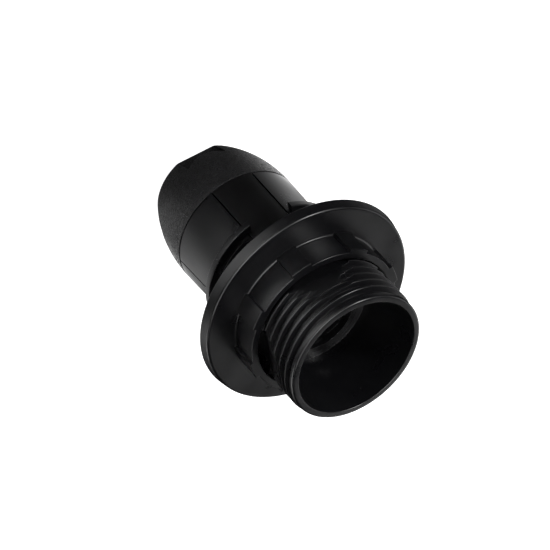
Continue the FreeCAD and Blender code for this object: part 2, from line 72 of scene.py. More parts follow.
# The sleeve's thread. The phase is the share of a turn by which its crests are shifted, read off
# the crests in the photograph.
SLEEVE_PITCH = 2.03
THREAD_PHASE = 0.5

# Distances of the terminals from the axis, along X and Y
TERMINAL_X = 5.6
TERMINAL_Y = -1.1


# Mesh helpers

def in_scene(name, mesh):
    """Puts a mesh into the scene as an object."""
    obj = bpy.data.objects.new(name, mesh)
    bpy.context.scene.collection.objects.link(obj)
    return obj


def piece(name, points, faces):
    """A closed mesh from millimetre points, with its faces turned outward."""
    mesh = bpy.data.meshes.new(name)
    mesh.from_pydata([Vector(point) * MM for point in points], [], faces)
    shape = bmesh.new()
    shape.from_mesh(mesh)
    bmesh.ops.remove_doubles(shape, verts=shape.verts, dist=1e-7)
    bmesh.ops.recalc_face_normals(shape, faces=shape.faces)
    shape.to_mesh(mesh)
    shape.free()
    return in_scene(name, mesh)


def rounded(corners, steps=5):
    """Corner points (radius, height, rounding) of a closed outline, each rounded by an arc."""
    points = []
    for i, (r, z, rounding) in enumerate(corners):
        if not rounding:
            points.append((r, z))
            continue
        here = Vector((r, z))
        back = (Vector(corners[i - 1][:2]) - here).normalized()
        ahead = (Vector(corners[(i + 1) % len(corners)][:2]) - here).normalized()
        half = back.angle(ahead) / 2
        start = back * (rounding / math.tan(half))
        end = ahead * (rounding / math.tan(half))
        centre = (back + ahead).normalized() * (rounding / math.sin(half))
        for step in range(steps + 1):
            spoke = (start - centre).lerp(end - centre, step / steps).normalized() * rounding
            points.append(tuple(here + centre + spoke))
    return points


def even_angles(count):
    """Angles that share out a full turn."""
    return [2 * math.pi * i / count for i in range(count)]


def circle(radius, count, x=0.0, y=0.0):
    """A circle's points, or a polygon's when the count is small."""
    return [(x + radius * math.cos(a), y + radius * math.sin(a)) for a in even_angles(count)]


def turned(name, outline, angles, shift=None):
    """Turns a closed outline about the axis. shift gives a point's change of radius at an angle."""
    points = []
    rows = []
    for k, (r, z) in enumerate(outline):
        if r < 1e-6:
            rows.append([len(points)] * len(angles))
            points.append((0, 0, z))
            continue
        row = []
        for angle in angles:
            radius = r + (shift(k, angle) if shift else 0.0)
            row.append(len(points))
            points.append((radius * math.cos(angle), radius * math.sin(angle), z))
        rows.append(row)
    faces = []
    for k, row in enumerate(rows):
        following = rows[(k + 1) % len(rows)]
        for i in range(len(angles)):
            j = (i + 1) % len(angles)
            corners = list(dict.fromkeys([row[i], row[j], following[j], following[i]]))
            if len(corners) > 2:
                faces.append(corners)
    return piece(name, points, faces)


def threaded_rod(name, profile, pitch, bottom, top, phase=0.0, limit=None, count=180):
    """A rod with a right-hand thread. profile lists (share of the pitch, radius) over one turn.

    limit gives a point's radius from its height and the radius in the profile."""
    rows_per_turn = len(profile)
    turns = int((top - bottom) / pitch) + 4
    start = bottom - 2 * pitch + (phase % 1.0) * pitch
    points = []
    rows = []
    for j in range(rows_per_turn * turns):
        share, radius = profile[j % rows_per_turn]
        row = []
        for i in range(count):
            z = start + pitch * (j // rows_per_turn + share + i / count)
            r = limit(z, radius) if limit else radius
            angle = 2 * math.pi * i / count
            row.append(len(points))
            points.append((r * math.cos(angle), r * math.sin(angle), z))
        rows.append(row)
    faces = []
    for j in range(len(rows) - 1):
        for i in range(count):
            if i + 1 < count:
                faces.append([rows[j][i], rows[j][i + 1], rows[j + 1][i + 1], rows[j + 1][i]])
            elif j + 1 + rows_per_turn < len(rows):
                faces.append([rows[j][i], rows[j + rows_per_turn][0], rows[j + 1 + rows_per_turn][0],
                              rows[j + 1][i]])
    mesh = bpy.data.meshes.new(name)
    mesh.from_pydata([Vector(point) * MM for point in points], [], faces)
    shape = bmesh.new()
    shape.from_mesh(mesh)
    # Helical quads aren't flat, and a boolean cut needs flat faces.
    bmesh.ops.triangulate(shape, faces=shape.faces)
    for level, facing in ((bottom, -1), (top, 1)):
        everything = list(shape.verts) + list(shape.edges) + list(shape.faces)
        bmesh.ops.bisect_plane(shape, geom=everything, plane_co=(0, 0, level * MM),
                               plane_no=(0, 0, facing), clear_outer=True)
    bmesh.ops.remove_doubles(shape, verts=shape.verts, dist=2e-7)
    open_edges = [edge for edge in shape.edges if edge.is_boundary]
    bmesh.ops.holes_fill(shape, edges=open_edges, sides=0)
    bmesh.ops.recalc_face_normals(shape, faces=shape.faces)
    shape.to_mesh(mesh)
    shape.free()
    return in_scene(name, mesh)


def prism(name, corners, low, high, place=None):
    """A flat outline given a height, then put in place by a matrix."""
    count = len(corners)
    points = [(x, y, low) for x, y in corners] + [(x, y, high) for x, y in corners]
    if place is not None:
        points = [place @ Vector(point) for point in points]
    faces = [list(range(count)), list(range(2 * count - 1, count - 1, -1))]
    for i in range(count):
        j = (i + 1) % count
        faces.append([i, j, j + count, i + count])
    return piece(name, points, faces)


def block(name, x, y, z, round_by=0.0):
    """A block from its ranges, with rounded upright edges if asked."""
    corners = [(x[0], y[0]), (x[1], y[0]), (x[1], y[1]), (x[0], y[1])]
    if round_by:
        corners = rounded([corner + (round_by,) for corner in corners], 4)
    return prism(name, corners, z[0], z[1])


HALF_TURN = Matrix.Rotation(math.pi, 4, "Z")
# An upright shape laid along X
ALONG_X = Matrix.Rotation(math.radians(90), 4, "Y")
# Outlines drawn as (distance from the axis, height): the first stands in the YZ plane, the other in XZ
IN_YZ = Matrix(((0, 0, 1, 0), (1, 0, 0, 0), (0, 1, 0, 0), (0, 0, 0, 1)))
IN_XZ = Matrix(((1, 0, 0, 0), (0, 0, -1, 0), (0, 1, 0, 0), (0, 0, 0, 1)))


def opposite(obj):
    """A copy of a shape on the other side of the axis."""
    other = obj.copy()
    other.data = obj.data.copy()
    other.data.transform(HALF_TURN)
    bpy.context.scene.collection.objects.link(other)
    return other


def settle(base):
    """Applies a shape's modifiers and merges points less than a micrometre apart."""
    bpy.context.view_layer.update()
    graph = bpy.context.evaluated_depsgraph_get()
    made = bpy.data.meshes.new_from_object(base.evaluated_get(graph))
    base.modifiers.clear()
    shape = bmesh.new()
    shape.from_mesh(made)
    bmesh.ops.remove_doubles(shape, verts=shape.verts, dist=1e-6)
    bmesh.ops.dissolve_degenerate(shape, dist=1e-6, edges=shape.edges)
    shape.to_mesh(made)
    shape.free()
    base.data = made


def shape_with(base, added=(), removed=(), within=()):
    """Joins shapes to a base, takes others out of it and keeps what lies within the last ones.

    Each cut is made by itself, and the slivers that it leaves are merged before the next."""
    for operation, tools in (("UNION", added), ("DIFFERENCE", removed), ("INTERSECT", within)):
        for tool in tools:
            step = base.modifiers.new(operation, "BOOLEAN")
            step.operation = operation
            step.object = tool
            step.solver = "EXACT"
            settle(base)
            bpy.data.objects.remove(tool)
    return base


def soften(obj, angle):
    """Smooth shading that keeps edges sharper than the angle and large faces flat."""
    obj.data.shade_smooth()
    obj.data.set_sharp_from_angle(angle=math.radians(angle))
    flat = obj.modifiers.new("flat_faces", "WEIGHTED_NORMAL")
    flat.keep_sharp = True


# Cap: a spark-grained dome with a threaded entry, two release pockets and two springy tongues

DOME_DROP = CAP_RADIUS - END_RADIUS
DOME_BEND = (DOME_EQUATOR ** 2 + DOME_DROP ** 2) / (2 * DOME_DROP)


def dome_radius(height, inset=0.0):
    """Radius of the dome at a height, on an arc that ends upright, or of a surface inside it."""
    drop = DOME_EQUATOR - min(height, DOME_EQUATOR)
    bend = DOME_BEND - inset
    return CAP_RADIUS - DOME_BEND + math.sqrt(bend * bend - drop * drop)


def build_tongue():
    """Starts a hair below the dome's surface and follows the housing's taper."""
    half_width = 4.2
    inner_face = 11.3
    length = 25.58
    taper = 0.0304
    across = 14
    levels = [CAP_RIM - 1.6, CAP_RIM - 0.02] + [CAP_RIM + 0.02 + length * k / 12 for k in range(13)]
    points = []
    for z in levels:
        if z < CAP_RIM:
            radius = dome_radius(z) - 0.3
        else:
            radius = CAP_RADIUS - 0.1 - taper * (z - CAP_RIM)
        for k in range(across + 1):
            x = half_width * (1 - 2 * k / across)
            points.append((x, math.sqrt(radius * radius - x * x), z))
        points.append((-half_width, inner_face, z))
        points.append((half_width, inner_face, z))
    ring = across + 3
    faces = [list(range(ring)), list(range(len(points) - 1, len(points) - ring - 1, -1))]
    for level in range(len(levels) - 1):
        for k in range(ring):
            j = (k + 1) % ring
            faces.append([level * ring + k, level * ring + j, (level + 1) * ring + j,
                          (level + 1) * ring + k])
    return piece("tongue", points, faces)


def build_cap():
    wall = 1.5
    floor = 2.0
    boss_radius = 6.56
    boss_top = 8.0
    entry_minor = 4.46
    entry_major = 4.98
    outline = [(dome_radius(0.0), 0.0, 0.35)]
    outline += [(dome_radius(DOME_EQUATOR * k / 22), DOME_EQUATOR * k / 22, 0) for k in range(1, 23)]
    outline += [(CAP_RADIUS, CAP_RIM, 0.05), (CAP_RADIUS - wall, CAP_RIM, 0.12)]
    for k in range(10, -1, -1):
        z = floor + (DOME_EQUATOR - floor) * k / 10
        outline.append((dome_radius(z, wall), z, 0))
    outline += [(boss_radius, floor, 0), (boss_radius, boss_top, 0.3), (entry_minor, boss_top, 0),
                (entry_minor, 0.55, 0), (5.01, 0.0, 0)]
    body = turned("cap_moulding", rounded(outline), even_angles(240))

    tongue = build_tongue()
    latch = prism("latch", [(11.1, 37.55), (11.8, 37.1), (11.8, 39.2), (11.1, 38.75)], -3.2, 3.2, IN_YZ)

    # Walls round the pockets and the locking screw stop inside the dome's surface.
    plug_bottom = 0.3
    plug_inset = 0.7
    plug_outline = [(0, plug_bottom), (dome_radius(plug_bottom, plug_inset), plug_bottom)]
    plug_outline += [(dome_radius(DOME_EQUATOR * k / 12, plug_inset), DOME_EQUATOR * k / 12)
                     for k in range(1, 13)]
    plug_outline += [(0, DOME_EQUATOR)]
    dome_plug = turned("dome_plug", plug_outline, even_angles(96))
    pocket_wall = block("pocket_wall", (-5.1, 5.1), (7.8, 14.0), (0.5, 10.0))
    lock_rib = block("lock_rib", (5.5, 14.0), (-2.5, 2.5), (0.5, 7.1), 0.3)
    ribs = shape_with(pocket_wall, added=[opposite(pocket_wall), lock_rib], within=[dome_plug])

    pocket = block("pocket", (-4.1, 4.1), (8.8, 11.25), (-1.0, 9.0), 0.25)
    entry = threaded_rod("entry", [(0.0, entry_minor), (0.25, entry_minor), (0.45, entry_major),
                                   (0.75, entry_major)], 1.0, -0.5, 9.0, count=96)
    lock_hole = prism("lock_hole", circle(1.58, 40), 3.0, 14.0,
                      Matrix.Translation((0, 0, LOCK_HEIGHT)) @ ALONG_X)
    return shape_with(body, added=[tongue, opposite(tongue), latch, opposite(latch), ribs],
                      removed=[pocket, opposite(pocket), entry, lock_hole])


# Housing: panels, four lips for the shade and the sleeve with its thread and flats

def panel_radius(height):
    """Outer radius of the housing's rear panels, which taper slightly to the lips."""
    taper = 0.36
    return PANEL_RADIUS - taper * (height - HOUSING_REAR) / (LIP_REAR - HOUSING_REAR)


def build_sleeve():
    """The threaded sleeve: narrow crests with a small bevel on each side, and steep flanks."""
    thread_bottom = LIP_FRONT + 0.4
    fade_length = 1.2
    bevel = SLEEVE_CREST - 0.06
    profile = [(0.0, SLEEVE_ROOT), (0.28, SLEEVE_ROOT), (0.415, bevel), (0.445, SLEEVE_CREST),
               (0.575, SLEEVE_CREST), (0.605, bevel), (0.74, SLEEVE_ROOT)]

    def run_out(z, radius):
        """The crests sink into the band at the mouth and fade out above the lips."""
        if z > BAND_BOTTOM - 0.7:
            radius = min(radius, BAND_RADIUS - 0.05)
        grown = min(1.0, max(0.0, (z - thread_bottom) / fade_length))
        return SLEEVE_ROOT + (radius - SLEEVE_ROOT) * grown

    return threaded_rod("housing_moulding", profile, SLEEVE_PITCH, LIP_FRONT - 0.53, MOUTH - 0.9,
                        THREAD_PHASE, run_out, count=240)


def build_housing():
    sleeve = build_sleeve()
    inside = 9.0
    body = turned("housing_body", rounded([
        (inside, HOUSING_REAR, 0), (panel_radius(HOUSING_REAR), HOUSING_REAR, 0.12),
        (panel_radius(LIP_REAR), LIP_REAR, 0), (LIP_RADIUS, LIP_REAR, 0.15),
        (LIP_RADIUS, LIP_FRONT, 0.2), (SLEEVE_CORE, LIP_FRONT, 0),
        (SLEEVE_CORE, BAND_BOTTOM - 0.02, 0), (BAND_RADIUS, BAND_BOTTOM, 0.1),
        (BAND_RADIUS, MOUTH, 0.45), (inside, MOUTH, 0)], 6), even_angles(240))
    rear_bore = 11.3
    shoulder_hole = 8.9
    mouth_bevel = 0.08
    below = 10.0
    above = 60.0
    bore = turned("bore", rounded([
        (0, below, 0), (rear_bore, below, 0), (rear_bore, SHOULDER, 0),
        (shoulder_hole, SHOULDER, 0.1), (shoulder_hole, THROAT, 0.1), (INSERT_RADIUS, THROAT, 0.05),
        (MOUTH_RADIUS, MOUTH - mouth_bevel, 0), (MOUTH_RADIUS + mouth_bevel, MOUTH, 0),
        (MOUTH_RADIUS + mouth_bevel, above, 0), (0, above, 0)]), even_angles(240))
    housing = shape_with(sleeve, added=[body], removed=[bore])
    # Channel floors close the sleeve behind the tongues.
    floor = block("channel_floor", (-5.5, 5.5), (10.0, 11.5), (HOUSING_REAR + 0.01, SHOULDER + 0.3))
    housing = shape_with(housing, added=[floor, opposite(floor)])

    # A channel stops near the cap's radius, so that the lips still reach over the tongue's edges.
    channel_half = 4.5
    channel_radius = 13.3
    channel_floor = 11.0
    channel_steps = [channel_half * (1 - 2 * k / 12) for k in range(13)]
    channel = prism("channel", [(channel_half, channel_floor)]
                    + [(x, math.sqrt(channel_radius ** 2 - x ** 2)) for x in channel_steps]
                    + [(-channel_half, channel_floor)], 13.0, 40.15)
    latch_groove = block("latch_groove", (-channel_half, channel_half), (10.5, 11.5), (37.25, 39.05))

    # The gap in the lips starts just outside the panels, whose fronts stay whole.
    gap_inside = 12.9
    gap_left = -3.8
    gap_right = 5.1
    outside = 16.0
    gap_steps = [gap_left + (gap_right - gap_left) * k / 12 for k in range(13)]
    lip_gap = prism("lip_gap", [(x, math.sqrt(gap_inside ** 2 - x * x)) for x in gap_steps]
                    + [(gap_right, outside), (gap_left, outside)], LIP_REAR - 0.3, LIP_FRONT + 0.3)
    slit = block("slit", (12.2, outside), (-0.17, 0.17), (13.0, LIP_REAR))

    # Each tool flat is level up to the ramp, on which it runs out through the crests.
    flat_distance = 12.1
    ramp_start = 45.3
    ramp_end = 54.1
    flat_half = 6.5
    flat_outline = [(flat_distance, LIP_FRONT + 0.02), (outside, LIP_FRONT + 0.02),
                    (outside, ramp_end), (14.2, ramp_end), (flat_distance, ramp_start)]
    flats = []
    for quarter in range(4):
        turn = Matrix.Rotation(math.pi / 2 * quarter, 4, "Z")
        flats.append(prism("flat", flat_outline, -flat_half, flat_half, turn @ IN_XZ))
    return shape_with(housing, removed=[channel, opposite(channel), latch_groove,
                                        opposite(latch_groove), lip_gap, opposite(lip_gap),
                                        slit, opposite(slit)] + flats)


# Shade ring: a thin flange with a turned-down rim and a collar with eight grip ribs

def build_ring():
    rib_count = 8
    rib_pitch = 2 * math.pi / rib_count
    half_rib = math.radians(7.5)
    flank = math.radians(0.2)
    first_rib = math.radians(-79.5)
    rib_height = 0.7
    angles = []
    # A rib's flank stands between two close angles, and wider steps fill the rest.
    for k in range(rib_count):
        middle = first_rib + k * rib_pitch
        for side in (-1, 1):
            angles += [middle + side * (half_rib + flank * t) for t in (-1.0, 1.0)]
        angles += [middle + math.radians(a) for a in (-4.5, -1.5, 1.5, 4.5)]
        angles += [middle + math.radians(a) for a in range(10, 36, 2)]
    angles = sorted(a % (2 * math.pi) for a in angles)

    def rib_rise(angle):
        off = abs((angle - first_rib + rib_pitch / 2) % rib_pitch - rib_pitch / 2)
        return rib_height if off < half_rib else 0.0

    # The foot is rounded between the ribs; a rib meets the flange in a sharp corner.
    bore = 14.2
    flange_rear = FLANGE_FRONT - 1.4
    rim_inside = 20.8
    rim_radius = 21.92
    outline = rounded([
        (bore, RING_REAR, 0.15), (COLLAR_RADIUS, RING_REAR, 0.2), (COLLAR_RADIUS, flange_rear, 0.3),
        (rim_inside, flange_rear, 0.3), (rim_inside + 0.02, RING_REAR, 0.15),
        (rim_radius, RING_REAR, 0.15), (21.5, FLANGE_FRONT, 0.5), (COLLAR_RADIUS, FLANGE_FRONT, 0.45),
        (COLLAR_RADIUS, RING_FRONT, 0.14), (bore, RING_FRONT, 0.2)], 6)

    def shift(k, angle):
        """Lifts the collar's front edge onto the ribs and fills its rounded foot beneath them."""
        r, z = outline[k]
        if z > RING_FRONT - 0.2 and r > 15.0:
            return rib_rise(angle)
        if z >= FLANGE_FRONT - 1e-6 and COLLAR_RADIUS - 0.01 < r < COLLAR_RADIUS + 0.5:
            return max(0.0, COLLAR_RADIUS + rib_rise(angle) - r)
        return 0.0

    ring = turned("shade_ring_moulding", outline, angles, shift)
    minor = 14.0
    major = 14.55
    inner_thread = threaded_rod("inner_thread", [(0.0, minor), (0.2, minor), (0.4, major), (0.8, major)],
                                SLEEVE_PITCH, RING_REAR + 0.7, RING_FRONT - 0.7, count=120)
    return shape_with(ring, removed=[inner_thread])


# Lamp insert: a keyed block with the lamp's round-crested thread in front

def build_insert():
    half_key = 9.7
    rear = 18.7
    front = 40.55
    keyed = [(x, max(-half_key, min(half_key, y))) for x, y in circle(INSERT_RADIUS, 120)]
    body = prism("insert_moulding", keyed, rear, front)
    barrel = prism("barrel", circle(8.6, 120), 40.0, 43.0)
    barrier = block("barrier", (-0.7, 0.7), (-half_key, half_key), (15.3, 19.2), 0.2)
    # Round crests and roots, as the thread for a 14 mm screw lamp has
    crests = [(k / 12, 6.66 + 0.34 * math.cos(2 * math.pi * k / 12)) for k in range(12)]
    socket = threaded_rod("socket", crests, 2.82, 23.7, 42.2, 0.3, count=120)
    lead_in = turned("lead_in", [(0, 41.9), (6.9, 41.9), (7.5, 43.01), (7.5, 44.0), (0, 44.0)],
                     even_angles(120))
    behind = rear - 1.0
    side_slot = block("side_slot", (-8.9, -5.9), (-2.3, 2.3), (behind, 32.5))
    centre_slot = block("centre_slot", (7.8, 8.9), (-2.3, 2.3), (behind, 25.2))
    centre_window = block("centre_window", (5.9, 8.6), (-2.3, 2.3), (23.7, 25.21))
    holes = []
    for side in (-1, 1):
        screw_place = circle(2.0, 48, TERMINAL_X * side, TERMINAL_Y)
        rivet_place = circle(0.95, 48, TERMINAL_X * side, 3.4)
        holes.append(prism("screw_hole", screw_place, behind, 22.35))
        holes.append(prism("rivet_hole", rivet_place, behind, 20.25))
    return shape_with(body, added=[barrel, barrier],
                      removed=[socket, lead_in, side_slot, centre_slot, centre_window] + holes)


# Screws

def build_screw(name, x, y):
    """A slotted screw with a rounded head edge and a metric thread."""
    head_bottom = 14.2
    head_top = 16.1
    end = 22.1
    shaft = threaded_rod(name, [(0.0, 1.45), (0.15, 1.45), (0.5, 1.74), (0.65, 1.74)], 0.6,
                         head_top - 0.3, end - 0.35, count=60)
    head = turned("head", rounded([(0, head_bottom, 0), (3.0, head_bottom, 0.5), (3.0, head_top, 0.15),
                                   (1.9, head_top, 0), (1.6, head_top + 0.3, 0), (0, head_top + 0.3, 0)]),
                  even_angles(64))
    tip = turned("tip", [(0, end - 0.6), (1.42, end - 0.6), (1.42, end - 0.35), (1.1, end), (0, end)],
                 even_angles(64))
    slot = block("slot", (-4.0, 4.0), (-0.45, 0.45), (head_bottom - 1.0, head_bottom + 1.0))
    screw = shape_with(shaft, added=[head, tip], removed=[slot])
    screw.data.transform(Matrix.Translation(Vector((x, y, 0)) * MM))
    return screw


def build_locking_screw():
    """A headless screw with a six-sided socket, lying along X."""
    start = 5.2
    shaft = threaded_rod("locking_screw_turned", [(0.0, 1.3), (0.15, 1.3), (0.5, 1.49), (0.65, 1.49)],
                         0.5, 0.3, 5.3, count=60)
    tip = turned("lock_point", [(0, 0.0), (0.9, 0.0), (1.3, 0.4), (1.3, 0.8), (0, 0.8)], even_angles(48))
    end = turned("lock_end", [(0, 4.9), (1.35, 4.9), (1.35, 5.4), (1.2, 5.6), (0, 5.6)], even_angles(48))
    socket = prism("lock_socket", circle(0.866, 6), 4.0, 6.6)
    screw = shape_with(shaft, added=[tip, end], removed=[socket])
    screw.data.transform(Matrix.Translation(Vector((start, 0, LOCK_HEIGHT)) * MM) @ ALONG_X)
    return screw


# Materials

def linear(hex_colour):
    """sRGB hex to linear colour."""
    values = [int(hex_colour[i:i + 2], 16) / 255 for i in (1, 3, 5)]
    return [v / 12.92 if v <= 0.04045 else ((v + 0.055) / 1.055) ** 2.4 for v in values] + [1.0]


def node(material, kind, settings=None, links=None):
    """Adds a node; links go from (node, output) to this node's inputs."""
    made = material.node_tree.nodes.new(kind)
    for name, value in (settings or {}).items():
        if isinstance(name, int) or name in made.inputs:
            made.inputs[name].default_value = value
        else:
            setattr(made, name, value)
    for name, (source, output) in (links or {}).items():
        material.node_tree.links.new(source.outputs[output], made.inputs[name])
    return made


def empty_material(name):
    """A material with no nodes yet."""
    material = bpy.data.materials.new(name)
    material.use_nodes = True
    material.node_tree.nodes.clear()
    return material


def moulded_plastic(name, colour, roughness, grain_mm, grain_depth_mm, edge_mm, mottle=0.06,
                    grain_end=None):
    """Black moulded thermoplastic: its steel tool's grain breaks up the gloss, edges are softly round.

    The gloss drifts a little over 7 mm, as the melt flowed. With grain_end the deep grain and the painted
    glint on its raised points stop at that height, and what lies above came from a polished part of the
    tool."""
    material = empty_material(name)
    place = node(material, "ShaderNodeTexCoord")
    edge = node(material, "ShaderNodeBevel", {"samples": 6, "Radius": edge_mm * MM})
    grain = node(material, "ShaderNodeTexNoise",
                 {"Scale": 1.0 / (grain_mm * MM), "Detail": 3.0, "Roughness": 0.6},
                 {"Vector": (place, "Object")})
    flow = node(material, "ShaderNodeTexNoise",
                {"Scale": 1.0 / (7.0 * MM), "Detail": 3.0, "Roughness": 0.5},
                {"Vector": (place, "Object")})
    bump = node(material, "ShaderNodeBump", {"Strength": 1.0, "Distance": grain_depth_mm * MM},
                {"Height": (grain, "Fac"), "Normal": (edge, "Normal")})
    gloss = node(material, "ShaderNodeMapRange",
                 {"From Min": 0.3, "From Max": 0.7, "To Min": roughness - mottle,
                  "To Max": roughness + mottle},
                 {"Value": (flow, "Fac")})
    finish = (gloss, "Result")
    lighter = [v * 1.5 for v in linear(colour)[:3]] + [1.0]
    tint = node(material, "ShaderNodeMix",
                {"data_type": "RGBA", "A": linear(colour), "B": lighter},
                {"Factor": (flow, "Fac")})
    if grain_end:
        height = node(material, "ShaderNodeSeparateXYZ", {}, {0: (place, "Object")})
        grained = node(material, "ShaderNodeMapRange",
                       {"From Min": grain_end * MM, "From Max": (grain_end + 0.02) * MM,
                        "To Min": 1.0, "To Max": 0.03},
                       {"Value": (height, "Z")})
        material.node_tree.links.new(grained.outputs["Result"], bump.inputs["Strength"])
        # Pits of the grain are duller than its raised points, and the raised points are painted lighter: a
        # painted glint.
        dullness = node(material, "ShaderNodeMapRange",
                        {"From Min": 0.36, "From Max": 0.64, "To Min": 1.6, "To Max": 0.6},
                        {"Value": (grain, "Fac")})
        dullness_here = node(material, "ShaderNodeMix", {"data_type": "FLOAT", "A": 1.0},
                             {"Factor": (grained, "Result"), "B": (dullness, "Result")})
        varied = node(material, "ShaderNodeMath", {"operation": "MULTIPLY"},
                      {0: (gloss, "Result"), 1: (dullness_here, "Result")})
        finish = (varied, "Value")
        # Painted glint: below grain_end the grain's raised points are lightened towards dark grey in the
        # base colour.
        painted_glint_mask = node(material, "ShaderNodeMapRange", {"From Min": 0.42, "From Max": 0.6},
                     {"Value": (grain, "Fac")})
        painted_glint_here = node(material, "ShaderNodeMath", {"operation": "MULTIPLY"},
                          {0: (painted_glint_mask, "Result"), 1: (grained, "Result")})
        tint = node(material, "ShaderNodeMix", {"data_type": "RGBA", "B": linear("#1c1c1e")},
                    {"Factor": (painted_glint_here, "Value"), "A": (tint, "Result")})
    shader = node(material, "ShaderNodeBsdfPrincipled", {"IOR": 1.5, "Metallic": 0.0},
                  {"Base Color": (tint, "Result"), "Roughness": finish, "Normal": (bump, "Normal")})
    node(material, "ShaderNodeOutputMaterial", {}, {"Surface": (shader, "BSDF")})
    return material


def worked_metal(name, colour, dark_colour, roughness, streak_mm, stretch, edge_mm=0.05):
    """Stamped or turned metal: fine streaks from rolling or cutting vary its gloss.

    Its colour drifts in patches of 2.5 mm. stretch says how many times narrower the streaks are
    along each axis."""
    material = empty_material(name)
    place = node(material, "ShaderNodeTexCoord")
    stretched = node(material, "ShaderNodeMapping", {"Scale": stretch}, {"Vector": (place, "Object")})
    streaks = node(material, "ShaderNodeTexNoise",
                   {"Scale": 1.0 / (streak_mm * MM), "Detail": 4.0, "Roughness": 0.65},
                   {"Vector": (stretched, "Vector")})
    patches = node(material, "ShaderNodeTexNoise", {"Scale": 1.0 / (2.5 * MM), "Detail": 2.0},
                   {"Vector": (place, "Object")})
    edge = node(material, "ShaderNodeBevel", {"samples": 6, "Radius": edge_mm * MM})
    bump = node(material, "ShaderNodeBump", {"Strength": 0.6, "Distance": 0.004 * MM},
                {"Height": (streaks, "Fac"), "Normal": (edge, "Normal")})
    gloss = node(material, "ShaderNodeMapRange",
                 {"From Min": 0.3, "From Max": 0.7, "To Min": roughness - 0.08, "To Max": roughness + 0.1},
                 {"Value": (streaks, "Fac")})
    tint = node(material, "ShaderNodeMix",
                {"data_type": "RGBA", "A": linear(colour), "B": linear(dark_colour)},
                {"Factor": (patches, "Fac")})
    shader = node(material, "ShaderNodeBsdfPrincipled", {"Metallic": 1.0},
                  {"Base Color": (tint, "Result"), "Roughness": (gloss, "Result"),
                   "Normal": (bump, "Normal")})
    node(material, "ShaderNodeOutputMaterial", {}, {"Surface": (shader, "BSDF")})
    return material


# Polyamide from a spark-eroded tool: a dull black skin that glitters faintly, partly from its varied
# roughness
#  and partly from a painted glint on the grain's raised points. Such grain is nearer 0.1 mm wide, too fine
#  to show, and is drawn coarser, at 0.3 mm.
grained_cap = moulded_plastic("grained_black_polyamide", "#050506", 0.40, 0.3, 0.2, 0.04,
                              grain_end=CAP_RIM)
# Polyamide from a lapped tool: smooth, with soft wide reflections
satin_housing = moulded_plastic("satin_black_polyamide", "#0a0a0c", 0.32, 0.5, 0.006, 0.05)
# The same from another lapped tool: the broad flange shows how the gloss drifts with the flow
satin_ring = moulded_plastic("half_gloss_black_polyamide", "#0a0a0c", 0.32, 0.45, 0.006, 0.06)
# Heat-resistant polyester from a polished tool: deep black with narrow glints on its thread
gloss_insert = moulded_plastic("gloss_black_polyester", "#070708", 0.16, 0.5, 0.002, 0.02, 0.03)
# Rolled strip: warm and brownish, finely streaked across X
bronze = worked_metal("rolled_phosphor_bronze", "#c98a5a", "#b27445", 0.28, 0.25, (6.0, 1.0, 1.0))
# Stamped sheet: pale yellow, finely streaked along X as it was rolled
brass = worked_metal("stamped_brass", "#d9b56a", "#c39a4e", 0.26, 0.3, (1.0, 5.0, 1.0))
# Turned or stamped steel under a thin bright zinc coat: cool grey with fine marks round the axis
zinc_steel = worked_metal("zinc_plated_steel", "#b9bcc0", "#a3a7ab", 0.3, 0.3, (1.0, 1.0, 4.0))


# Pieces on their bodies

def dress(obj, node_name, body, material, angle=32.0):
    """Gives a piece its shading and material, and puts it on its body in place of its solid."""
    soften(obj, angle)
    obj.data.materials.clear()
    obj.data.materials.append(material)
    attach(obj, body)
    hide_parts(node_name)


dress(build_cap(), "cap", "cap", grained_cap)
# The smaller angle keeps the edges of the thread's crests crisp.
dress(build_housing(), "housing", "holder", satin_housing, 22.0)
dress(build_ring(), "shade_ring", "ring", satin_ring)
dress(build_insert(), "lamp_insert", "holder", gloss_insert)
dress(build_locking_screw(), "locking_screw", "locking_screw", zinc_steel)
for side, word in ((-1, "side"), (1, "centre")):
    dress(build_screw("screw_" + word, TERMINAL_X * side, TERMINAL_Y),
          "terminal_screw_" + word, word + "_screw", zinc_steel)

# Solids that stay as they are. Their small edge rounds are in the material alone.
CARRIED = {
    "side_contact": bronze, "centre_contact": bronze, "terminal_plate_side": brass,
    "terminal_plate_centre": brass, "rivet_side": brass, "rivet_centre": brass,
    "clamp_washer_side": zinc_steel, "clamp_washer_centre": zinc_steel}
for name, material in CARRIED.items():
    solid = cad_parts[name]
    solid.data.materials.clear()
    solid.data.materials.append(material)


# Camera

def camera_like_photo():
    """The photograph's viewpoint, in metres, from a camera fitted to its outline and edges."""
    right = Vector((-0.84699, 0.11268, 0.51952))
    up = Vector((-0.44204, -0.69215, -0.57055))
    back = Vector((0.29529, -0.71290, 0.63606))
    place = (0.16835, -0.40418, 0.38952)
    focal_pixels = 3033.8
    frame_pixels = 550
    data = bpy.data.cameras.new("camera")
    data.sensor_width = 36.0
    data.lens = focal_pixels / frame_pixels * data.sensor_width
    data.clip_start = 0.01
    data.clip_end = 50.0
    camera = bpy.data.objects.new("camera", data)
    turn = Matrix((right, up, back)).transposed().to_4x4()
    camera.matrix_world = Matrix.Translation(place) @ turn
    bpy.context.scene.collection.objects.link(camera)
    bpy.context.scene.camera = camera


